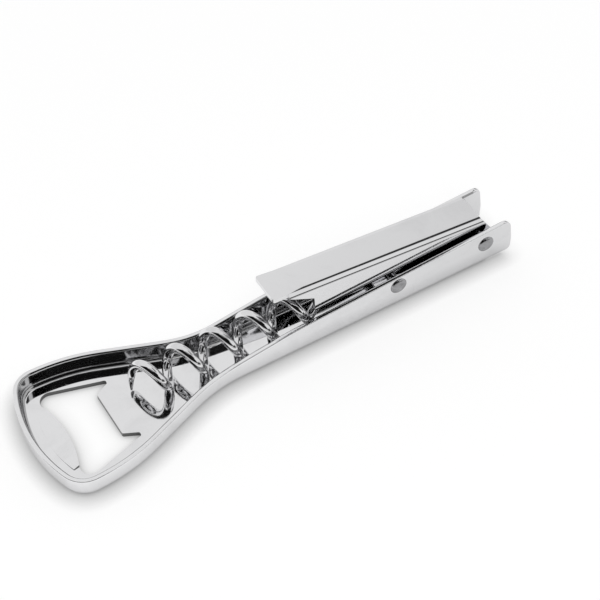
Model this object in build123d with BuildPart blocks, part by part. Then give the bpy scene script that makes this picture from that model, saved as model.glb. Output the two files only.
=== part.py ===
from build123d import *
import os
from math import acos, asin, atan2, cos, degrees, pi, radians, sin, sqrt

# A waiter's corkscrew pressed from plated sheet: a channel handle with a crown cap opener head,
# a folding bottle lever, a wire worm and the two rivets they turn on.
# X runs along the handle towards the pivot end, Y across it, and Z up from its flat underside.
os.makedirs("parts", exist_ok=True)

# Handle sheet
length = 120.0
channel_width = 13.0
sheet = 1.2
bend_radius = 2.4
rim_height = 5.7
rise_from_end = 43.5
shoulder_from_end = 61.0
shoulder_height = 8.4
shoulder_blend = 50.0
ear_height = 11.5
ear_lean = 0.9
ear_bend_height = 5.2
ear_bend = 10.0
ear_corner = 2.2
ear_heel = 3.6

# Head plan
head_width = 32.8
head_end_bow = 35.0
head_corner = 6.0
head_side_bow = 43.0
waist_bow = 35.0
flare_angle = 21.0

# Crown cap window
lip_setback = 8.6
lip_bow = 1.5
lip_width = 17.4
crease_setback = 4.1
crease_bow = 1.6
crease_width = 18.0
lip_rise = 0.6
window_span = 10.0
window_corner_setback = 6.0
window_corner_width = 26.2
window_corner_radius = 2.4
tongue_length = 3.3
tongue_tip_width = 12.0
tongue_root_width = 15.2
slit_width = 0.9
slit_end_radius = 0.4

# Pivots
pivot_height = 7.25
lever_pivot_from_end = 7.5
pivot_spacing = 24.0
floor_past_pivot = 1.5
rivet_diameter = 2.4
rivet_head_diameter = 4.1
rivet_head_height = 0.6
rivet_head_rim = 0.25
rivet_fit = 0.02
hinge_clearance = 0.07
rest_clearance = 0.3

# Lever
lever_sheet = 1.0
lever_width = 9.2
lever_fold = 1.6
lever_top = 6.35
lever_lift = 5.4
lever_plate_start = 0.85
lever_reach = 55.8
lever_fold_setback = 3.8
lever_notch_setback = 10.3
lever_notch_height = 2.55
lever_tooth_setback = 11.0
lever_tooth_depth = 1.75
lever_lobe = 3.4
lever_tip_width = 8.0
lever_tip_corner = 0.6

# Worm
wire = 2.3
wire_sides = 15
coil_radius = 3.4
coil_pitch = 8.75
coil_turns = 4.7
point_turns = 0.3
point_diameter = 0.5
tip_turn_share = -0.2
worm_reach = 63.7
worm_lift = 0.9
shank_lead = 7.5
eye_turn = 270.0
eye_steps = 6
steps_per_turn = 4
point_steps = 6
gap_samples = 600

# Overrun of every cut
overrun = 1.0

# Places that follow from the sizes
head_x = -length / 2
ear_x = length / 2
lever_pivot_x = ear_x - lever_pivot_from_end
worm_pivot_x = lever_pivot_x - pivot_spacing
channel_inner = channel_width - 2 * sheet
hinge_hole = rivet_diameter + 2 * hinge_clearance
bow_sum = head_side_bow + waist_bow
corner_lean = degrees(asin((head_width / 2 - head_corner) / (head_end_bow - head_corner)))
corner_x = head_x + head_end_bow - (head_end_bow - head_corner) * cos(radians(corner_lean))
flank_rise = (head_width - channel_width) / 2 - bow_sum * (1 - cos(radians(flare_angle)))
flank = flank_rise / sin(radians(flare_angle))
waist_x = corner_x + bow_sum * sin(radians(flare_angle)) + flank * cos(radians(flare_angle))


def plan(inset, end_x):
    """Give the pear shaped plan, brought in by the inset all round, up to the end given."""
    channel_half = channel_width / 2 - inset
    with BuildSketch() as shape:
        with BuildLine():
            side = Line((end_x, channel_half), (waist_x, channel_half))
            waist = JernArc(side @ 1, side % 1, waist_bow + inset, -flare_angle)
            flare = Line(waist @ 1, waist @ 1 + (waist % 1) * flank)
            cheek = JernArc(flare @ 1, flare % 1, head_side_bow - inset, flare_angle)
            corner = JernArc(cheek @ 1, cheek % 1, head_corner - inset, 90 - corner_lean)
            JernArc(corner @ 1, corner % 1, head_end_bow - inset, corner_lean)
            mirror(about=Plane.XZ)
            Line((end_x, -channel_half), (end_x, channel_half))
        make_face()
    return shape.sketch


# Cavity of the handle, inside the sheet
with BuildPart() as cavity:
    with BuildSketch(Plane.XY.offset(sheet)):
        add(plan(sheet, ear_x + overrun))
    extrude(amount=ear_height)
    fillet(cavity.edges().group_by(Axis.Z)[0].sort_by(Axis.X)[:-1], bend_radius - sheet)

# Bent lip of the opener, as the wedge that it rises by
lip_x = head_x + lip_setback
crease_x = head_x + crease_setback
with BuildPart() as lip_wedge:
    with BuildSketch(Plane.XY.offset(sheet)):
        with BuildLine():
            lip_edge = ThreePointArc(
                (lip_x - lip_bow, lip_width / 2),
                (lip_x, 0),
                (lip_x - lip_bow, -lip_width / 2),
            )
            crease = ThreePointArc(
                (crease_x + crease_bow, -crease_width / 2),
                (crease_x, 0),
                (crease_x + crease_bow, crease_width / 2),
            )
            Line(lip_edge @ 1, crease @ 0)
            Line(crease @ 1, lip_edge @ 0)
        make_face()
    extrude(amount=2 * lip_rise)
    slope = Plane(
        origin=(crease_x, 0, sheet),
        x_dir=(lip_x - crease_x, 0, lip_rise),
        z_dir=(-lip_rise, 0, lip_x - crease_x),
    )
    split(bisect_by=slope, keep=Keep.BOTTOM)

# Handle
with BuildPart() as handle:
    with BuildSketch():
        add(plan(0, ear_x))
    extrude(amount=ear_height)
    fillet(handle.edges().group_by(Axis.Z)[0].sort_by(Axis.X)[:-1], bend_radius)
    add(cavity.part, mode=Mode.SUBTRACT)
    with BuildSketch(Plane.XZ):
        with BuildLine():
            skyline = FilletPolyline(
                (head_x - overrun, rim_height),
                (head_x + rise_from_end, rim_height),
                (head_x + shoulder_from_end, shoulder_height),
                (ear_x - ear_lean, ear_height),
                (ear_x, ear_bend_height),
                (ear_x, 0),
                (head_x - overrun, 0),
                radius=[shoulder_blend, shoulder_blend, ear_corner, ear_bend, ear_heel],
            )
            Line(skyline @ 1, skyline @ 0)
        make_face()
    extrude(amount=head_width, both=True, mode=Mode.INTERSECT)
    add(lip_wedge.part)
    with Locations((0, 0, -sheet)):
        add(lip_wedge.part, mode=Mode.SUBTRACT)
    with BuildSketch():
        tongue_x = lip_x + window_span
        slit_x = tongue_x + tongue_length
        slit_half = tongue_root_width / 2 + slit_width
        with BuildLine():
            flank_line = FilletPolyline(
                (lip_x - lip_bow, lip_width / 2),
                (head_x + window_corner_setback, window_corner_width / 2),
                (slit_x, slit_half),
                (slit_x, tongue_root_width / 2),
                (tongue_x, tongue_tip_width / 2),
                (tongue_x, 0),
                radius=[
                    window_corner_radius,
                    slit_end_radius,
                    slit_end_radius,
                    slit_end_radius,
                ],
            )
            mirror(about=Plane.XZ)
            ThreePointArc(
                (lip_x - lip_bow, lip_width / 2),
                (lip_x, 0),
                (lip_x - lip_bow, -lip_width / 2),
            )
        make_face()
    extrude(amount=rim_height, both=True, mode=Mode.SUBTRACT)
    floor_end_x = lever_pivot_x + floor_past_pivot
    with BuildSketch():
        with Locations((floor_end_x, 0)):
            Rectangle(length, channel_inner, align=(Align.MIN, Align.CENTER))
    extrude(amount=ear_height, both=True, mode=Mode.SUBTRACT)
    with BuildSketch(Plane.XZ):
        with Locations((lever_pivot_x, pivot_height), (worm_pivot_x, pivot_height)):
            Circle(rivet_diameter / 2 + rivet_fit)
    extrude(amount=channel_width, both=True, mode=Mode.SUBTRACT)
handle.part.label = "handle"

# Lever, drawn along itself from its pivot: u towards the free end and h up through its top
lever_along = Vector(-cos(radians(lever_lift)), 0, sin(radians(lever_lift)))
lever_side = Plane(origin=(lever_pivot_x, 0, pivot_height), x_dir=lever_along, z_dir=(0, 1, 0))
lever_start = lever_side.from_local_coords(Vector(-lever_lobe - overrun, 0, 0))
lever_section = Plane(origin=lever_start, x_dir=(0, -1, 0), z_dir=lever_along)
lever_under = Plane(
    origin=lever_side.from_local_coords(Vector(0, lever_top - lever_sheet, 0)),
    x_dir=lever_along,
    z_dir=lever_side.y_dir,
)
section_height = 2 * lever_top
lever_fold_end = lever_reach - lever_fold_setback
lever_notch = lever_reach - lever_notch_setback
lever_tooth = lever_reach - lever_tooth_setback
saddle_x = pivot_spacing * cos(radians(lever_lift))
saddle_height = rivet_diameter / 2 + rest_clearance - pivot_spacing * sin(radians(lever_lift))
plate_corner = sqrt(lever_plate_start**2 + lever_top**2)
lobe_tangent = degrees(atan2(lever_top, lever_plate_start) + acos(lever_lobe / plate_corner))
lobe_touch = (lever_lobe * cos(radians(lobe_tangent)), lever_lobe * sin(radians(lobe_tangent)))
with BuildPart() as lever:
    with BuildSketch(lever_section):
        with Locations((0, lever_top)):
            outside = Rectangle(lever_width, section_height, align=(Align.CENTER, Align.MAX))
        fillet(outside.vertices().group_by(Axis.Y)[-1], lever_fold)
        with Locations((0, lever_top - lever_sheet)):
            Rectangle(
                lever_width - 2 * lever_sheet,
                section_height,
                align=(Align.CENTER, Align.MAX),
                mode=Mode.SUBTRACT,
            )
    extrude(amount=lever_lobe + overrun + lever_fold_end)
    with BuildSketch(lever_side):
        with BuildLine():
            outline = Polyline(
                lobe_touch,
                (lever_plate_start, lever_top),
                (lever_fold_end, lever_top),
                (lever_fold_end, lever_top - lever_sheet),
                (lever_notch, lever_notch_height),
                (lever_tooth, -lever_tooth_depth),
            )
            saddle = ThreePointArc(outline @ 1, (saddle_x, saddle_height), (0, -lever_lobe))
            ThreePointArc(saddle @ 1, (-lever_lobe, 0), outline @ 0)
        make_face()
    extrude(amount=lever_width, both=True, mode=Mode.INTERSECT)
    with BuildSketch(lever_under):
        with BuildLine():
            Polyline(
                (lever_notch, lever_width / 2 - lever_fold),
                (lever_fold_end, lever_width / 2 - lever_fold / 2),
                (lever_reach, lever_tip_width / 2),
                (lever_reach, -lever_tip_width / 2),
                (lever_fold_end, -lever_width / 2 + lever_fold / 2),
                (lever_notch, -lever_width / 2 + lever_fold),
                close=True,
            )
        tongue = make_face()
        fillet(tongue.vertices().group_by(Axis.X)[-1], lever_tip_corner)
    extrude(amount=lever_sheet)
    with BuildSketch(lever_side):
        Circle(hinge_hole / 2)
    extrude(amount=lever_width, both=True, mode=Mode.SUBTRACT)
lever.part.label = "lever"

# Rivets, each turned about its own axis
for name, x in (("lever_rivet", lever_pivot_x), ("worm_rivet", worm_pivot_x)):
    seat = channel_width / 2
    top = (seat + rivet_head_height, 0)
    with BuildPart() as rivet:
        with BuildSketch(Plane(origin=(x, 0, pivot_height), x_dir=(0, 1, 0), z_dir=(1, 0, 0))):
            with BuildLine():
                outline = Polyline(
                    (0, 0),
                    (0, rivet_diameter / 2),
                    (seat, rivet_diameter / 2),
                    (seat, rivet_head_diameter / 2),
                    (seat + rivet_head_rim, rivet_head_diameter / 2),
                )
                TangentArc(top, outline @ 1, tangent=(0, 1))
                Line(top, (0, 0))
            make_face()
        revolve(axis=Axis((x, 0, pivot_height), (0, 1, 0)))
        mirror(about=Plane.XZ)
    rivet.part.label = name
    export_step(rivet.part, "parts/" + name + ".step")

# Worm, drawn along itself from its pivot: w towards the point, v up and y across
worm_along = Vector(-cos(radians(worm_lift)), 0, sin(radians(worm_lift)))
worm_side = Plane(origin=(worm_pivot_x, 0, pivot_height), x_dir=worm_along, z_dir=(0, 1, 0))


def worm_point(w, v, y=0):
    """Give the place of a point that is w along the worm, v above it and y across."""
    return worm_side.from_local_coords(Vector(w, v, y))


def worm_direction(w, v, y=0):
    """Turn a direction along, above and across the worm into the object's frame."""
    return (worm_point(w, v, y) - worm_side.origin).normalized()


def coil_point(turn):
    """Give the wire's centre after so many turns from the point."""
    angle = 2 * pi * (turn + tip_turn_share)
    along = worm_reach - coil_pitch * turn
    return worm_point(along, coil_radius * sin(angle), coil_radius * cos(angle))


def coil_direction(turn):
    """Give the way the wire runs there, towards the pivot."""
    angle = 2 * pi * (turn + tip_turn_share)
    around = 2 * pi * coil_radius
    return worm_direction(-coil_pitch, around * cos(angle), -around * sin(angle))


def coil_section(turn):
    """Give the plane square to the wire there, with its x away from the coil's axis."""
    angle = 2 * pi * (turn + tip_turn_share)
    outwards = worm_direction(0, sin(angle), cos(angle))
    return Plane(origin=coil_point(turn), x_dir=outwards, z_dir=coil_direction(turn))


def biarc(start, start_way, end, end_way):
    """Join two places by two arcs that leave and arrive the given ways, and give their radii."""
    chord = end - start
    both = start_way + end_way
    bend = 2 * (1 - start_way.dot(end_way))
    reach = (sqrt(chord.dot(both) ** 2 + bend * chord.dot(chord)) - chord.dot(both)) / bend
    first_corner = start + start_way * reach
    second_corner = end - end_way * reach
    middle = (first_corner + second_corner) / 2
    middle_way = (second_corner - first_corner).normalized()
    arcs = (
        TangentArc(start, middle, tangent=start_way),
        TangentArc(middle, end, tangent=middle_way),
    )
    return [arc.radius for arc in arcs]


eye_radius = rivet_diameter / 2 + hinge_clearance + wire / 2
eye_lead = sqrt(3) * eye_radius
eye_start = -degrees(acos(sqrt(3) / 2))
coil_end_w = worm_reach - coil_pitch * coil_turns
with BuildPart() as worm:
    with BuildLine() as route:
        radii = []
        coil_steps = round((coil_turns - point_turns) * steps_per_turn)
        step = (coil_turns - point_turns) / coil_steps
        for number in range(coil_steps):
            here = point_turns + number * step
            there = here + step
            radii += biarc(coil_point(here), coil_direction(here), coil_point(there), coil_direction(there))
        shank_start = worm_point(coil_end_w - shank_lead, 0)
        radii += biarc(
            coil_point(coil_turns), coil_direction(coil_turns), shank_start, worm_direction(-1, 0)
        )
        Line(shank_start, worm_point(eye_lead, 0))
        polar = radians(eye_start)
        eye_entry = worm_point(eye_radius * cos(polar), eye_radius * sin(polar))
        TangentArc(worm_point(eye_lead, 0), eye_entry, tangent=worm_direction(-1, 0))
        for number in range(eye_steps):
            there = polar - radians(eye_turn) / eye_steps
            TangentArc(
                worm_point(eye_radius * cos(polar), eye_radius * sin(polar)),
                worm_point(eye_radius * cos(there), eye_radius * sin(there)),
                tangent=worm_direction(sin(polar), -cos(polar)),
            )
            polar = there
    with BuildSketch(coil_section(point_turns)):
        RegularPolygon(wire / 2, wire_sides)
    tube = sweep(clean=False, mode=Mode.PRIVATE)
    for number in range(point_steps + 1):
        share = number / point_steps
        turn = point_turns * share
        thickness = point_diameter + (wire - point_diameter) * sin(share * pi / 2)
        with BuildSketch(coil_section(turn)):
            RegularPolygon(thickness / 2, wire_sides)
    point = loft(ruled=True, clean=False, mode=Mode.PRIVATE)
    # The wire's skin is its faces and the point's, without the section that they share
    seam = coil_point(point_turns)
    skin = tube.faces().sort_by_distance(seam)[1:] + point.faces().sort_by_distance(seam)[1:]
    add(Solid(Shell(skin)), clean=False)
worm.part.label = "worm"

# Least gap of the wire to itself, over places that are more than a turn of the eye apart
line = route.wires()[0]
spots = [line.position_at(number / gap_samples) for number in range(gap_samples + 1)]
apart = int(gap_samples * 2 * pi * eye_radius * (eye_turn / 360) / line.length)
least = min(
    (spots[here] - spots[there]).length
    for here in range(len(spots))
    for there in range(here + apart, len(spots))
)
print("worm wire length", round(line.length, 2), "least gap to itself", round(least - wire, 2))
print("tightest bend of the coil and its lead", round(min(radii), 2))

export_step(handle.part, "parts/handle.step")
export_step(lever.part, "parts/lever.step")
export_step(worm.part, "parts/worm.step")
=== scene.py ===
# %% [markdown]
# A waiter's corkscrew in bright chrome plate, on a white table.
#
# The real tool is two pressings, one wire and two rivets. Their sizes and places come from the
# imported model. This notebook eases their edges, gives them their finish, lights them the way a
# small shiny thing is lit, and sets the camera where the photographer stood.

# %% Load the frame
from math import cos, pi, radians, sin, sqrt

import bpy
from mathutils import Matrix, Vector


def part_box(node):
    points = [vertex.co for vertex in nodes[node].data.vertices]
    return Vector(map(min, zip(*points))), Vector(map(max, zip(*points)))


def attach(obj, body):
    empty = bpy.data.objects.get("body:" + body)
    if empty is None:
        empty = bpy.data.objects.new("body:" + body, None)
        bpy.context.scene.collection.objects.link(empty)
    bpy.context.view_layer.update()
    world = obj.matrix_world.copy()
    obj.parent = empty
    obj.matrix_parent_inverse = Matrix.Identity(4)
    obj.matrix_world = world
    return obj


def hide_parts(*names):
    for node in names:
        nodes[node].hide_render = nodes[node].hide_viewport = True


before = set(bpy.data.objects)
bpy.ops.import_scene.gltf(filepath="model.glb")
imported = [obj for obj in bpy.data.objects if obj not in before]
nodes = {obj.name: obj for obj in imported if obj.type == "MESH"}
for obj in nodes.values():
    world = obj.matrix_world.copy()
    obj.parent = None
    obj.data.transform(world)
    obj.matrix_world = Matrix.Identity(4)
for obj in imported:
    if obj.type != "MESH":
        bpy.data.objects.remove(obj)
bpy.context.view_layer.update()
MM = 0.001
print("pieces:", ", ".join(sorted(nodes)))


# %% [markdown]
# The camera stands where the photographer stood: in front of the handle's long side, turned a
# third of a right angle towards the opener head, and looking steeply down. A long lens keeps the
# two long walls nearly parallel. The place could be found by trial, but solving it from the
# edges that show in the photograph puts every corner right at once.

# %% Camera
aim = Vector((10.6, 6.6, 0)) * MM
camera_turn = radians(-31.44)
camera_rise = radians(50.34)
camera_distance = 365.4 * MM
nearest_seen = 10 * MM
photo_width = 600
focal_pixels = 1599.67
film_width = 36

camera_data = bpy.data.cameras.new("photo_camera")
camera_data.sensor_width = film_width
camera_data.lens = film_width * focal_pixels / photo_width
camera_data.clip_start = nearest_seen
camera = bpy.data.objects.new("photo_camera", camera_data)
bpy.context.scene.collection.objects.link(camera)
back = Vector((
    sin(camera_turn) * cos(camera_rise),
    -cos(camera_turn) * cos(camera_rise),
    sin(camera_rise),
))
camera.location = aim + back * camera_distance
camera.rotation_euler = (pi / 2 - camera_rise, 0, camera_turn)
bpy.context.scene.camera = camera
print("lens", round(camera_data.lens, 1), "mm, camera at", [round(v, 3) for v in camera.location])


# %% [markdown]
# Every material here is a tree of nodes, and so is the sky. One small helper adds a node, sets
# its options and fills its inputs, with a plain value or with a link from another node. It keeps
# the cells below short enough to read.

# %% A helper that adds nodes
def add(tree, kind, inputs=None, **options):
    """Add a node, set its options, and set or link its inputs."""
    node = tree.nodes.new(kind)
    for name, value in options.items():
        setattr(node, name, value)
    for name, value in (inputs or {}).items():
        if isinstance(value, bpy.types.NodeSocket):
            tree.links.new(value, node.inputs[name])
        else:
            node.inputs[name].default_value = value
    return node


def math(tree, operation, *values):
    """Add a Math node and give its result."""
    return add(tree, "ShaderNodeMath", dict(enumerate(values)), operation=operation).outputs[0]


# %% [markdown]
# Chrome has no colour of its own: it shows the room. A shiny product is therefore photographed in
# a white tent with a dark gap where the camera looks in, because the gap draws the black lines
# that give the metal its edges. Lamps alone would leave it grey and spotted. The world here is
# that tent, white all round. A card hung in it dims the white behind it, and is found from the
# angles of the view: how far they lie from the card's middle, round the horizon and up.

# %% White tent
world = bpy.data.worlds.new("tent")
world.use_nodes = True
bpy.context.scene.world = world
sky = world.node_tree
sky.nodes.clear()
direction = add(sky, "ShaderNodeTexCoord").outputs["Generated"]


def toward(azimuth, elevation):
    """Give the direction at an azimuth from +X and an elevation, in degrees."""
    turn, rise = radians(azimuth), radians(elevation)
    return Vector((cos(turn) * cos(rise), sin(turn) * cos(rise), sin(rise)))


def along(axis):
    """Give how far the view direction goes along an axis."""
    ends = {0: direction, 1: axis}
    return add(sky, "ShaderNodeVectorMath", ends, operation="DOT_PRODUCT").outputs["Value"]


def window(angle, half, softness):
    """Give 1 while an angle is within half of zero, falling softly to 0 outside."""
    return add(sky, "ShaderNodeMapRange", {
        "Value": math(sky, "ABSOLUTE", angle),
        "From Min": radians(half + softness),
        "From Max": radians(half - softness),
    }, interpolation_type="SMOOTHSTEP").outputs[0]


def card(light, azimuth, elevation, half_width, half_height, softness, brightness):
    """Hang a soft-edged card in the light and give the light that is left."""
    swing = math(sky, "ARCTAN2", along(toward(azimuth + 90, 0)), along(toward(azimuth, 0)))
    height = math(sky, "ARCSINE", along(Vector((0, 0, 1))))
    rise = math(sky, "SUBTRACT", height, radians(elevation))
    across = window(swing, half_width, softness)
    upward = window(rise, half_height, softness)
    covered = math(sky, "MULTIPLY", across, upward)
    left = math(sky, "SUBTRACT", 1.0, math(sky, "MULTIPLY", covered, 1.0 - brightness))
    return math(sky, "MULTIPLY", light, left)


# %% [markdown]
# The widest card is the gap itself, where the photographer and the dark room behind show. The
# others draw what else the chrome shows: a band on the right-hand slopes, and the dark room under
# the tent past two edges of the table. They were placed one at a time, each until its line lay
# where the photograph has it.

# %% Cards in the tent
# name: azimuth, elevation, half width, half height, softness, brightness
cards = {
    "camera gap": (-138, 37, 66, 29, 3, 0.01),
    "wing of the camera gap": (-68, 54, 13, 13, 3, 0.01),
    "over the camera": (-120, 74, 60, 9, 6, 0.3),
    "stripe on the right": (-4, 56, 27, 7, 3, 0.05),
    "veil on the right": (15, 40, 32, 10, 8, 0.9),
    "near edge of the table": (-62, 4, 20, 9, 2, 0.06),
    "right edge of the table": (35, 9, 16, 6, 2, 0.12),
}
light = add(sky, "ShaderNodeValue").outputs[0]
light.default_value = 1.0
for place in cards.values():
    light = card(light, *place)
tent = add(sky, "ShaderNodeBackground", {"Strength": light})
add(sky, "ShaderNodeOutputWorld", {"Surface": tent.outputs[0]})
print("cards in the tent:", ", ".join(cards))


# %% [markdown]
# The table is a wide sheet of white paper. It is lit like the object, so it takes the object's
# soft shadow. A studio lights the paper apart from the object, until it is pure white. Here it
# glows a little instead, for the camera and for mirror-like rays alone, so that no more light
# falls on the metal. The glow has a painted contact shadow: it dims right under the object. In
# the metal the paper also has painted shade, darker towards the right and towards the camera,
# copying the shade on the real sheet.

# %% Table
table_size = 3.0
paper_white = 0.86
paper_as_seen = 1.45
glow_share = 0.75
# Reach and samples of the painted contact shadow.
contact_reach = 4.5 * MM
contact_samples = 16
# Painted shade in the metal's view of the paper: darker to the right and towards the camera.
painted_shade_to_the_right = {"From Min": -40 * MM, "From Max": 60 * MM, "To Min": 0.9, "To Max": 0.68}
painted_shade_to_the_front = {"From Min": -50 * MM, "From Max": -110 * MM, "To Min": 1.0, "To Max": 0.2}

bpy.ops.object.select_all(action="DESELECT")
bpy.ops.mesh.primitive_plane_add(size=table_size, location=(0, 0, 0))
table = bpy.context.object
table.name = "table"
white_paper = bpy.data.materials.new("white_paper")
white_paper.use_nodes = True
tree = white_paper.node_tree
tree.nodes.clear()

rays = add(tree, "ShaderNodeLightPath").outputs
seen = math(tree, "MAXIMUM", rays["Is Camera Ray"], rays["Is Glossy Ray"])
shade = add(tree, "ShaderNodeMapRange", {
    "Value": seen, "To Min": paper_white, "To Max": paper_as_seen,
})
paper = add(tree, "ShaderNodeBsdfDiffuse", {"Color": shade.outputs[0]})

spot = add(tree, "ShaderNodeTexCoord").outputs["Object"]
place = add(tree, "ShaderNodeSeparateXYZ", {0: spot}).outputs
# Painted shade: mirror rays see the paper darker to the right and towards the camera.
rightward = add(tree, "ShaderNodeMapRange", {"Value": place["X"], **painted_shade_to_the_right})
frontward = add(tree, "ShaderNodeMapRange", {"Value": place["Y"], **painted_shade_to_the_front})
painted_shade_in_metal = math(tree, "MULTIPLY", rightward.outputs[0], frontward.outputs[0])
ray_share = add(tree, "ShaderNodeMapRange", {
    "Value": rays["Is Camera Ray"], "To Min": painted_shade_in_metal, "To Max": 1.0,
})
# Painted contact shadow: Ambient Occlusion darkens the glow where the object stands close over the
# paper.
near = add(tree, "ShaderNodeAmbientOcclusion", {"Distance": contact_reach}, samples=contact_samples)
glow = add(tree, "ShaderNodeEmission", {
    "Strength": math(tree, "MULTIPLY", near.outputs["AO"], ray_share.outputs[0]),
})
mixed = add(tree, "ShaderNodeMixShader", {
    0: math(tree, "MULTIPLY", seen, glow_share), 1: paper.outputs[0], 2: glow.outputs[0],
})
add(tree, "ShaderNodeOutputMaterial", {"Surface": mixed.outputs[0]})
table.data.materials.append(white_paper)
print("table", table_size, "m wide")


# %% [markdown]
# One wide, weak lamp beside the camera fills the front of the dull rivets and deepens the shadow
# behind the walls. It is hidden from mirror-like rays, so no square spot shows in the chrome.

# %% Fill lamp
lamp_place = (-0.3, -0.8, 1.1)
lamp_size = 1.0
lamp_power = 6.0

lamp_data = bpy.data.lights.new("front_fill", "AREA")
lamp_data.size = lamp_size
lamp_data.energy = lamp_power
lamp = bpy.data.objects.new("front_fill", lamp_data)
bpy.context.scene.collection.objects.link(lamp)
lamp.location = lamp_place
lamp.rotation_euler = (-lamp.location).to_track_quat("-Z", "Y").to_euler()
lamp.visible_glossy = False
print("lamp", lamp_power, "W,", lamp_size, "m wide")


# %% [markdown]
# Bright plate isn't a perfect mirror. Rolled sheet keeps a soft waviness that bends long
# reflections, polishing leaves hairlines, hands leave faint smudges, and a sheared edge is
# grainy under its plating. Each of these is used by several finishes, so each is a node group:
# built once here, and placed in every finish with its own sizes. An image could hold the same
# marks, but a group has no seams and stays sharp close up.

# %% Group helper
def new_group(name, inputs, output):
    """Start a node group with float and vector inputs and one float output."""
    tree = bpy.data.node_groups.new(name, "ShaderNodeTree")
    for socket, value in inputs.items():
        kind = "NodeSocketVector" if value is None else "NodeSocketFloat"
        made = tree.interface.new_socket(socket, in_out="INPUT", socket_type=kind)
        if value is not None:
            made.default_value = value
    tree.interface.new_socket(output, in_out="OUTPUT", socket_type="NodeSocketFloat")
    return tree, tree.nodes.new("NodeGroupInput").outputs


# %% [markdown]
# Sheet leaves the rolls and the press a few hundredths of a millimetre out of true, over lengths
# of a centimetre. That is too little to see in its outline and enough to bend a mirror line. A
# smooth noise with almost no fine detail is that form.

# %% Soft waviness of rolled sheet
waviness, given = new_group("rolled_waviness", {"Vector": None, "Size": 9 * MM}, "Height")
ripple = add(waviness, "ShaderNodeTexNoise", {
    "Vector": given["Vector"],
    "Scale": math(waviness, "DIVIDE", 1.0, given["Size"]),
    "Detail": 1.0,
    "Roughness": 0.4,
})
add(waviness, "NodeGroupOutput", {"Height": ripple.outputs[0]})
print("made", waviness.name)


# %% [markdown]
# A polishing wheel leaves hairlines that run nearly one way and fade in and out. They are drawn
# here as the thin places where a noise passes through its middle value. The noise is stretched
# along the stroke, and a second, wider noise breaks the lines into patches.

# %% Hairlines from polishing
noise_middle = 0.5
patches_per_length = 3.0
patch_edge = {"From Min": 0.48, "From Max": 0.62}

hairlines, given = new_group("polishing_hairlines", {
    "Vector": None, "Length": 14 * MM, "Spacing": 0.9 * MM, "Slant": 0.2, "Line": 0.012,
}, "Mask")
slanted = add(hairlines, "ShaderNodeVectorRotate", {
    "Vector": given["Vector"], "Angle": given["Slant"],
}, rotation_type="Z_AXIS")
per_length = math(hairlines, "DIVIDE", 1.0, given["Length"])
per_spacing = math(hairlines, "DIVIDE", 1.0, given["Spacing"])
stretch = add(hairlines, "ShaderNodeCombineXYZ", {
    "X": per_length, "Y": per_spacing, "Z": per_spacing,
})
drawn = add(hairlines, "ShaderNodeVectorMath", {
    0: slanted.outputs[0], 1: stretch.outputs[0],
}, operation="MULTIPLY")
field = add(hairlines, "ShaderNodeTexNoise", {
    "Vector": drawn.outputs[0], "Scale": 1.0, "Detail": 0.0,
})
away = math(hairlines, "ABSOLUTE", math(hairlines, "SUBTRACT", field.outputs[0], noise_middle))
line = add(hairlines, "ShaderNodeMapRange", {
    "Value": away, "From Min": 0.0, "From Max": given["Line"], "To Min": 1.0, "To Max": 0.0,
})
patches = add(hairlines, "ShaderNodeTexNoise", {
    "Vector": given["Vector"],
    "Scale": math(hairlines, "MULTIPLY", per_length, patches_per_length),
    "Detail": 2.0,
})
broken = add(hairlines, "ShaderNodeMapRange", {"Value": patches.outputs[0], **patch_edge})
scored = math(hairlines, "MULTIPLY", line.outputs[0], broken.outputs[0])
add(hairlines, "NodeGroupOutput", {"Mask": scored})
print("made", hairlines.name)


# %% [markdown]
# Hands leave a thin, cloudy film that dulls the plate in patches with soft edges. A detailed
# noise, cut off below its middle, gives clean metal between the patches.

# %% Smudges from handling
smudge_edge = {"From Min": 0.44, "From Max": 0.7}

smudges, given = new_group("handling_smudges", {
    "Vector": None, "Size": 7 * MM, "Amount": 1.0,
}, "Mask")
cloud = add(smudges, "ShaderNodeTexNoise", {
    "Vector": given["Vector"],
    "Scale": math(smudges, "DIVIDE", 1.0, given["Size"]),
    "Detail": 5.0,
    "Roughness": 0.62,
    "Distortion": 0.4,
})
patch = add(smudges, "ShaderNodeMapRange", {
    "Value": cloud.outputs[0], **smudge_edge,
}, interpolation_type="SMOOTHSTEP")
film = math(smudges, "MULTIPLY", patch.outputs[0], given["Amount"])
add(smudges, "NodeGroupOutput", {"Mask": film})
print("made", smudges.name)


# %% [markdown]
# Where a tool sheared or struck the metal, its skin is torn and dented, and plating only softens
# that. Fine noise gives the torn grain, and the round cells of a Voronoi pattern give the dents.

# %% Grain of struck or sheared metal
dimple_share = 0.5

grain, given = new_group("struck_grain", {"Vector": None, "Size": 0.3 * MM}, "Height")
per_size = math(grain, "DIVIDE", 1.0, given["Size"])
torn = add(grain, "ShaderNodeTexNoise", {
    "Vector": given["Vector"], "Scale": per_size, "Detail": 2.0,
})
pits = add(grain, "ShaderNodeTexVoronoi", {"Vector": given["Vector"], "Scale": per_size})
dimples = math(grain, "MULTIPLY", pits.outputs["Distance"], dimple_share)
add(grain, "NodeGroupOutput", {"Height": math(grain, "ADD", torn.outputs[0], dimples)})
print("made", grain.name)


# %% [markdown]
# The four finishes are built by one function, because they are the same metal worked in
# different ways: a polished colour, a dull colour under the smudges, a roughness that the
# smudges, hairlines and grain add to, and a chain of bumps from the widest to the finest.
#
# Two marks on the faces steer it. "worked" is where a tool sheared or struck the metal, and
# shows the grain. The other mark is painted shade: a dark grey laid in the hollows where shade
# falls, such as inside the channel.

# %% Metal finish
long_stroke = {"Slant": 0.16}
cross_stroke = {"Slant": -0.5, "Length": 6 * MM, "Spacing": 1.7 * MM}


def placed(tree, group, inputs):
    """Place a shared group in a material and give what it puts out."""
    return add(tree, "ShaderNodeGroup", inputs, node_tree=group).outputs[0]


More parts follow.
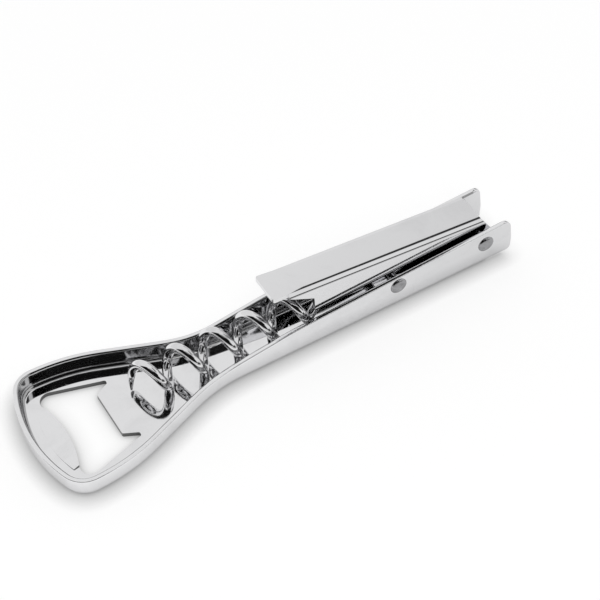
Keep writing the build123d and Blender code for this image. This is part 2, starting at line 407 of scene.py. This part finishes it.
def blend(tree, share, *colors):
    """Mix two colours by a share and give the result."""
    node = add(tree, "ShaderNodeMix", {0: share}, data_type="RGBA")
    sockets = [socket for socket in node.inputs if socket.type == "RGBA"]
    for socket, color in zip(sockets, colors):
        if isinstance(color, bpy.types.NodeSocket):
            tree.links.new(color, socket)
        else:
            socket.default_value = (*color, 1)
    return [socket for socket in node.outputs if socket.type == "RGBA"][0]


def bump(tree, height, depth, under=None, **options):
    """Raise a height over the bumps under it and give the normal."""
    inputs = {"Height": height, "Strength": 1.0, "Distance": depth}
    if under is not None:
        inputs["Normal"] = under
    return add(tree, "ShaderNodeBump", inputs, **options).outputs[0]


def metal(name, bright, dull, smooth, look):
    """Make one metal finish from the shared effects."""
    material = bpy.data.materials.new(name)
    material.use_nodes = True
    tree = material.node_tree
    shader = tree.nodes["Principled BSDF"]
    shader.inputs["Metallic"].default_value = 1
    spot = add(tree, "ShaderNodeTexCoord").outputs["Object"]
    worked = add(tree, "ShaderNodeAttribute", attribute_name="worked").outputs["Fac"]
    painted_shade = add(tree, "ShaderNodeAttribute", attribute_name="painted_shade").outputs["Fac"]

    smudge = placed(tree, smudges, {"Vector": spot, "Size": look["smudge"], "Amount": 1.0})
    long_lines = placed(tree, hairlines, {"Vector": spot, **long_stroke})
    cross_lines = placed(tree, hairlines, {"Vector": spot, **cross_stroke})
    lines = math(tree, "MAXIMUM", long_lines, cross_lines)
    rough_grain = placed(tree, grain, {"Vector": spot, "Size": look["grain"]})
    ripple = placed(tree, waviness, {"Vector": spot, "Size": look["wave"]})

    polished = blend(tree, smudge, bright, dull)
    # Painted shade: the second mark lays a dark grey over the plate in the hollows.
    tone = blend(tree, painted_shade, polished, look["painted_shade"])
    tree.links.new(tone, shader.inputs["Base Color"])

    haze = math(tree, "MULTIPLY_ADD", smudge, look["haze"], smooth)
    scored = math(tree, "MULTIPLY_ADD", lines, look["score"], haze)
    coarse = math(tree, "MULTIPLY", worked, math(tree, "MULTIPLY", rough_grain, look["coarse"]))
    tree.links.new(math(tree, "ADD", scored, coarse), shader.inputs["Roughness"])

    wide = bump(tree, ripple, look["wave_depth"])
    scratched = bump(tree, lines, look["line_depth"], wide, invert=True)
    dents = math(tree, "MULTIPLY", rough_grain, worked)
    dented = bump(tree, dents, look["grain_depth"], scratched)
    tree.links.new(dented, shader.inputs["Normal"])
    print("made", name)
    return material


# %% [markdown]
# The pressings and the wire are chrome plated, and differ a little in brightness, as they do in
# the photograph. The rivets are steel without that plate, dull and dark beside it. The packed
# pieces get the plate as well, until their dressed copies stand for them.

# %% The four finishes
# Each look's dark grey is painted shade for the hollows of a piece.
plate_look = {
    "smudge": 8 * MM, "wave": 9 * MM, "grain": 0.35 * MM,
    "haze": 0.05, "score": 0.12, "coarse": 0.16, "painted_shade": (0.16, 0.16, 0.16),
    "wave_depth": 0.012 * MM, "line_depth": 0.0006 * MM, "grain_depth": 0.012 * MM,
}
lever_look = {**plate_look, "smudge": 11 * MM, "wave": 14 * MM}
wire_look = {**plate_look, "smudge": 4 * MM, "wave": 5 * MM, "wave_depth": 0.01 * MM}
rivet_look = {
    **plate_look, "smudge": 1.5 * MM, "wave": 1.3 * MM, "grain": 0.25 * MM,
    "haze": 0.08, "coarse": 0.08, "wave_depth": 0.02 * MM, "grain_depth": 0.01 * MM,
}
handle_chrome = metal("handle_chrome", (0.89, 0.89, 0.9), (0.84, 0.84, 0.85), 0.035, plate_look)
lever_chrome = metal("lever_chrome", (0.86, 0.86, 0.87), (0.81, 0.81, 0.82), 0.035, lever_look)
wire_chrome = metal("wire_chrome", (0.84, 0.84, 0.85), (0.76, 0.76, 0.77), 0.04, wire_look)
rivet_steel = metal("rivet_steel", (0.42, 0.42, 0.43), (0.3, 0.3, 0.305), 0.12, rivet_look)
for name in nodes:
    nodes[name].data.materials.clear()
    nodes[name].data.materials.append(handle_chrome)


# %% [markdown]
# Sheet steel is sheared, pressed and tumbled before it is plated, so no edge is sharp: each one
# catches its own thin line of light. The pressings could be modelled again from a plane, but the
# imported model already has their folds, so a copy of it is finished instead. Its loose triangles
# are joined and its coplanar ones dissolved, which leaves only real edges to work on.

# %% Copy of a pressing
join_distance = 0.002 * MM
flat_bend = radians(0.6)


def only(piece):
    """Make one piece the only one selected."""
    bpy.ops.object.select_all(action="DESELECT")
    piece.select_set(True)
    bpy.context.view_layer.objects.active = piece


def joined_copy(node, name):
    """Copy a pressed piece, join its loose triangles and dissolve the flat ones."""
    piece = nodes[node].copy()
    piece.data = nodes[node].data.copy()
    piece.name = name
    piece.parent = None
    for key in list(piece.keys()):
        del piece[key]
    bpy.context.scene.collection.objects.link(piece)
    only(piece)
    bpy.ops.object.mode_set(mode="EDIT")
    bpy.ops.mesh.select_all(action="SELECT")
    bpy.ops.mesh.customdata_custom_splitnormals_clear()
    bpy.ops.mesh.remove_doubles(threshold=join_distance)
    bpy.ops.mesh.dissolve_limited(angle_limit=flat_bend, delimit={"NORMAL"})
    bpy.ops.object.mode_set(mode="OBJECT")
    print(name, "faces:", len(piece.data.polygons))
    return piece


# %% [markdown]
# A Bevel modifier rounds each edge by its own weight, and a rule gives that weight from where
# the edge lies and how far it bends. The modifier's clamp keeps neighbouring rounds from
# crossing, but it holds every edge of a piece to what its shortest edge allows. The handle needs
# its full rounding and does without it. Weighted normals then keep the wide flats flat beside
# the bends, which a mirror finish would otherwise show as a false curve.

# %% Eased edges and shading
sharp = radians(40)
soft_bend = radians(30)
flat_weight = 50


def use(piece, kind, **settings):
    """Add a modifier with its settings and apply it."""
    only(piece)
    modifier = piece.modifiers.new(kind.lower(), kind)
    for name, value in settings.items():
        setattr(modifier, name, value)
    bpy.ops.object.modifier_apply(modifier=modifier.name)


def ease_edges(piece, keep, **settings):
    """Round each edge by the share that keep() gives it."""
    mesh = piece.data
    faces_of = {}
    for face in mesh.polygons:
        for key in face.edge_keys:
            faces_of.setdefault(key, []).append(face)
    weights = mesh.attributes.new("bevel_weight_edge", "FLOAT", "EDGE")
    picked = 0
    for edge in mesh.edges:
        pair = faces_of.get(edge.key, [])
        if len(pair) == 2:
            start, end = (mesh.vertices[number].co for number in edge.vertices)
            weight = keep((start + end) / 2, pair, pair[0].normal.angle(pair[1].normal))
            weights.data[edge.index].value = weight
            picked += weight > 0
    use(piece, "BEVEL", limit_method="WEIGHT", **settings)
    mesh.attributes.remove(mesh.attributes["bevel_weight_edge"])
    print(piece.name, "edges eased:", picked, "faces:", len(piece.data.polygons))


def smooth(piece):
    """Shade the bends smooth and keep the wide flats flat."""
    only(piece)
    bpy.ops.object.shade_smooth_by_angle(angle=soft_bend)
    use(piece, "WEIGHTED_NORMAL", mode="FACE_AREA", weight=flat_weight, keep_sharp=True)


# %% [markdown]
# The finish reads its two marks from the faces of the piece. Painting them by hand would have
# to be done again after each change of shape, so a short rule for each piece works them out.

# %% Marks and finish
def nowhere(face):
    """Leave a face without a mark."""
    return 0.0


# Besides the grain, a face's marks hold its painted shade, a dark grey for the hollows.
def dress(piece, finish, worked=nowhere, painted_shade=nowhere):
    """Give the faces of a piece their marks, from 0 to 1, and the piece its finish."""
    for name, rule in (("worked", worked), ("painted_shade", painted_shade)):
        marks = piece.data.attributes.new(name, "FLOAT", "FACE")
        for face in piece.data.polygons:
            marks.data[face.index].value = rule(face)
    piece.data.materials.clear()
    piece.data.materials.append(finish)


# %% [markdown]
# The handle is one sheet, pressed to a channel that flares into the opener head. Its walls end
# in a sheared rim that looks up at the camera. In the photograph the rim's inner edge is rounder
# than its outer one, and the two show as a double line. So the rule below picks the two edges of
# the rim, over the walls and down the end of the ears, and leaves every fold alone.

# %% Handle edges
wall_foot = 2.6 * MM
head_middle = -43 * MM
ear_corner = 56.5 * MM
rim_width = 0.55 * MM
rim_steps = 4
outer_edge_share = 0.3
looks_up = 0.7


def cut_way(face, x):
    """Give how far a face looks up, or out of the end where the ears stop."""
    return max(face.normal.z, face.normal.x) if x > ear_corner else face.normal.z


def inward(place):
    """Give the way from a place on the walls to the middle of the channel or of the head."""
    return Vector((max(place.x, head_middle), 0, place.z)) - place


def rim_edge(middle, pair, bend):
    """Give the rounding of an edge of the rim: full inside the channel, little outside."""
    rim, wall = sorted(pair, key=lambda face: -cut_way(face, middle.x))
    if bend < sharp or middle.z < wall_foot or cut_way(rim, middle.x) < looks_up:
        return 0.0
    return 1.0 if wall.normal.dot(inward(middle)) > 0 else outer_edge_share


handle = joined_copy("handle", "handle_sheet")
ease_edges(handle, rim_edge, width=rim_width, segments=rim_steps, use_clamp_overlap=False)
smooth(handle)


# %% [markdown]
# The wheel polishes the outside of the handle and its floor. The cut sides of the window, the
# low step where the lip is bent and the inside of the walls get painted shade, a dark grey where
# shade falls in these hollows, and grain as well. The rim and the lip keep some grain from the
# press too. A face is told from its neighbours by where it lies and which way it looks: a part
# of its normal near 1 means straight along that axis, and near 0 means square to it.

# %% Handle finish
floor_top = 1.2 * MM
floor_edge_top = 1.5 * floor_top
window_end = -30 * MM
lip_end = -51.2 * MM
ears_start = 36 * MM
lip_tilt_low = 0.09
lip_tilt_high = 0.3
nearly_flat = 0.9
rim_up = 0.5
upright = 0.3
step_way = -0.75
looks_in = 0.25
fold_up = 0.2
rim_grain = 0.5
lip_grain = 0.35
inner_wall = 0.45
inner_fold = 0.55


def on_lip(face):
    """Tell the lip's sloping top from the flat floor round it."""
    tilted = lip_tilt_low < abs(face.normal.x) < lip_tilt_high
    return face.center.x < lip_end and tilted and face.normal.z > nearly_flat


def struck(face):
    """Give the grain of a handle face: the rim's, the lip's, or that of the shaded hollows."""
    if face.center.z > wall_foot and face.normal.z > rim_up:
        return rim_grain
    if on_lip(face) and face.center.z > floor_top:
        return lip_grain
    return painted_shade_and_grain(face)


def painted_shade_and_grain(face):
    """Give a face's painted shade, from 0 for bright plate to 1, which is also its grain."""
    at_floor = face.center.z < floor_edge_top
    if face.center.x < window_end and at_floor and abs(face.normal.z) < upright:
        return 1.0
    if face.center.x < lip_end and at_floor and face.normal.x < step_way:
        return 1.0
    if face.center.x > ears_start or face.center.z < floor_top:
        return 0.0
    if face.normal.normalized().dot(inward(face.center).normalized()) < looks_in:
        return 0.0
    return inner_fold if face.normal.z > fold_up else inner_wall


# The hollows get painted shade, a dark grey, from the same rule as their grain.
dress(handle, handle_chrome, worked=struck, painted_shade=painted_shade_and_grain)
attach(handle, "handle")
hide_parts("handle")


# %% [markdown]
# The lever is a second channel, upside down between the handle's walls. Its folds are already
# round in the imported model. Without the clamp its short edges would cross, and with it the cut
# edges keep a hair of rounding, enough to catch a line of light. The sheared ends, which look
# along the handle, keep their grain.

# %% Lever
lever_edge_width = 0.22 * MM
lever_edge_steps = 3
lever_end_grain = 0.6
looks_along = 0.8


def cut_edge(middle, pair, bend):
    """Give the whole rounding to every edge that a cut left."""
    return float(bend > sharp)


def lever_end(face):
    """Give the grain of the lever's sheared ends."""
    return lever_end_grain if abs(face.normal.x) > looks_along else 0.0


lever = joined_copy("lever", "lever_sheet")
ease_edges(
    lever, cut_edge, width=lever_edge_width, segments=lever_edge_steps, use_clamp_overlap=True,
)
smooth(lever)
dress(lever, lever_chrome, worked=lever_end)
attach(lever, "lever")
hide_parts("lever")


# %% [markdown]
# The worm is one wire. It is bent round its rivet, runs straight for a moment, and is then wound
# on a rod into an open right-handed helix whose end is ground to a point. It hangs loose on its
# rivet: folded away, its first turn sinks to the channel's floor and it leans a little towards
# the far wall, without touching. Three directions carry that attitude, so the wire itself can be
# worked out as if it lay straight.

# %% Where the worm hangs
worm_lift = radians(-1.4)
worm_lean = radians(1.05)
rivet_low, rivet_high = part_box("worm_rivet")
worm_pivot = (rivet_low + rivet_high) / 2
worm_along = Vector((-cos(worm_lift) * cos(worm_lean), sin(worm_lean), sin(worm_lift)))
worm_up = Vector((sin(worm_lift), 0, cos(worm_lift)))
worm_side = worm_along.cross(worm_up).normalized()


def worm_place(reach, height, side=0.0):
    """Give the place at a reach from the rivet, a height over the wire's line and a side step."""
    return worm_pivot + worm_along * reach + worm_up * height + worm_side * side


print("worm's pivot in mm:", [round(v / MM, 2) for v in worm_pivot])


# %% [markdown]
# The helix is a loop over its turns, from the point to the shank. The spline of a curve object
# could be drawn by hand, but a formula keeps the pitch even. The second list is the thickness
# along the wire, which grows over the first part of a turn as a ground point does.

# %% Route of the coil
coil_radius = 3.4 * MM
coil_pitch = 8.72 * MM
coil_turns = 4.7
coil_steps = 36
point_turns = 0.3
point_share = 0.2
tip_turn_share = -0.2
worm_reach = 63.4 * MM

route = []
taper = []
for number in range(round(coil_turns * coil_steps) + 1):
    turn = number / coil_steps
    angle = 2 * pi * (turn + tip_turn_share)
    reach = worm_reach - coil_pitch * turn
    route.append(worm_place(reach, coil_radius * sin(angle), coil_radius * cos(angle)))
    taper.append(point_share + (1 - point_share) * sin(min(turn / point_turns, 1) * pi / 2))
print("points along the coil:", len(route))


# %% [markdown]
# The wire leaves the last turn along its own slope and swings in to the middle, where the shank
# starts. The curve that meets a place and a slope at both ends is a cubic, so the swing has no
# kink at either end.

# %% Route of the swing to the shank
shank_lead = 7.5 * MM
lead_steps = 18

coil_end = route[-1]
end_angle = 2 * pi * (coil_turns + tip_turn_share)
turn_length = 2 * pi * coil_radius
coil_way = worm_along * -coil_pitch
coil_way += worm_up * (turn_length * cos(end_angle)) - worm_side * (turn_length * sin(end_angle))
coil_way.normalize()
shank_start = worm_place(worm_reach - coil_pitch * coil_turns - shank_lead, 0)
span = (shank_start - coil_end).length
for number in range(1, lead_steps + 1):
    t = number / lead_steps
    route.append(
        coil_end * (2 * t**3 - 3 * t**2 + 1)
        + coil_way * (span * (t**3 - 2 * t**2 + t))
        + shank_start * (3 * t**2 - 2 * t**3)
        - worm_along * (span * (t**3 - t**2))
    )
print("swing to the shank in mm:", round(span / MM, 2))


# %% [markdown]
# The shank runs straight to the rivet, dips, and goes round it as an eye. The dip and the eye
# are two arcs of one radius that touch, so their middles lie two radii apart. That starts the
# dip at the square root of three times the radius from the rivet, and makes it a sixth of a turn.

# %% Route of the shank and the eye
wire = 2.3 * MM
rivet_diameter = 2.4 * MM
hinge_clearance = 0.07 * MM
shank_steps = 6
dip_turn = 60
dip_steps = 6
eye_turn = radians(270)
eye_steps = 27

eye_radius = rivet_diameter / 2 + hinge_clearance + wire / 2
dip_start = sqrt(3) * eye_radius
for number in range(1, shank_steps + 1):
    route.append(shank_start.lerp(worm_place(dip_start, 0), number / shank_steps))
for number in range(1, dip_steps + 1):
    bend = radians(90 + dip_turn * number / dip_steps)
    route.append(worm_place(dip_start + eye_radius * cos(bend), eye_radius * (sin(bend) - 1)))
for number in range(1, eye_steps + 1):
    bend = radians(dip_turn - 90) - eye_turn * number / eye_steps
    route.append(worm_place(eye_radius * cos(bend), eye_radius * sin(bend)))
taper += [1.0] * (len(route) - len(taper))
print("points along the wire:", len(route))


# %% [markdown]
# A curve with a round bevel is the natural way to make wire: it follows the route, and each
# point's radius gives the taper. It is then made a mesh, because the marks need faces.

# %% Worm
wire_resolution = 8

curve = bpy.data.curves.new("worm_wire", "CURVE")
curve.dimensions = "3D"
spline = curve.splines.new("POLY")
spline.points.add(len(route) - 1)
for point, spot, share in zip(spline.points, route, taper):
    point.co = (*spot, 1)
    point.radius = share
curve.bevel_depth = wire / 2
curve.bevel_resolution = wire_resolution
curve.use_fill_caps = True
worm = bpy.data.objects.new("worm_wire", curve)
bpy.context.scene.collection.objects.link(worm)
only(worm)
bpy.ops.object.convert(target="MESH")
worm = bpy.context.object
bpy.ops.object.shade_smooth_by_angle(angle=sharp)
dress(worm, wire_chrome)
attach(worm, "worm")
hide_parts("worm")
print("worm faces:", len(worm.data.polygons))


# %% [markdown]
# A rivet is a pin whose ends are struck over the sheet until they spread into low heads. The
# shoulder of such a head is round and its top is nearly flat, with the dents of the tool in it.
# A list of rings holds that section: how far out each ring lies, and how wide it is.

# %% Section of a rivet head
head_radius = 2.05 * MM
head_height = 0.6 * MM
crown = 0.06 * MM
shoulder_width = 0.85 * MM
shoulder_height = head_height - crown
shoulder_steps = 8
top_shares = (0.75, 0.5, 0.25)


def head_rings(seat, outward):
    """Give the rings of one struck head, from its foot on the sheet to its top."""
    rings = [(seat, rivet_diameter / 2), (seat, head_radius)]
    for number in range(1, shoulder_steps + 1):
        bend = pi / 2 * number / shoulder_steps
        rings.append((
            seat + outward * shoulder_height * sin(bend),
            head_radius - shoulder_width * (1 - cos(bend)),
        ))
    flat_top = rings[-1][1]
    for share in top_shares:
        rings.append((seat + outward * (head_height - crown * share**2), flat_top * share))
    return rings


# %% [markdown]
# Each rivet is turned as on a lathe. One circle is extruded along the pin's own line and resized
# ring by ring, from the top of the near head to the top of the far one. A cylinder with bevelled
# ends would be quicker, but its heads would be plain discs.

# %% Rivets
wall_outside = 6.5 * MM
rivet_sides = 64
rivet_grain = 0.6


def turned(name, centre, rings):
    """Turn a piece about a line along Y from its rings and recalculate its normals."""
    first_y, first_radius = rings[0]
    bpy.ops.object.select_all(action="DESELECT")
    bpy.ops.mesh.primitive_circle_add(
        vertices=rivet_sides, radius=first_radius, fill_type="NGON",
        location=(centre.x, first_y, centre.z), rotation=(pi / 2, 0, 0),
    )
    piece = bpy.context.object
    piece.name = name
    bpy.ops.object.mode_set(mode="EDIT")
    bpy.ops.mesh.select_all(action="SELECT")
    for (y, radius), (next_y, next_radius) in zip(rings, rings[1:]):
        bpy.ops.mesh.extrude_region_move(TRANSFORM_OT_translate={"value": (0, next_y - y, 0)})
        ratio = next_radius / radius
        middle = (centre.x, next_y, centre.z)
        bpy.ops.transform.resize(value=(ratio, 1, ratio), center_override=middle)
    bpy.ops.mesh.select_all(action="SELECT")
    bpy.ops.mesh.normals_make_consistent(inside=False)
    bpy.ops.object.mode_set(mode="OBJECT")
    bpy.ops.object.transform_apply(location=True, rotation=True, scale=True)
    bpy.ops.object.shade_smooth_by_angle(angle=sharp)
    return piece


def struck_rivet(node, name):
    """Turn one rivet and let it stand for its node."""
    low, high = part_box(node)
    near_head = head_rings(-wall_outside, -1)
    far_head = head_rings(wall_outside, 1)
    rivet = turned(name, (low + high) / 2, near_head[::-1] + far_head)
    dress(rivet, rivet_steel, worked=lambda face: rivet_grain)
    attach(rivet, "handle")
    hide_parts(node)
    print(name, "faces:", len(rivet.data.polygons))


struck_rivet("lever_rivet", "lever_rivet_struck")
struck_rivet("worm_rivet", "worm_rivet_struck")


# %% [markdown]
# Last comes the plain view transform, which shows each colour as it is written.

# %% Finish
bpy.context.scene.view_settings.view_transform = "Standard"
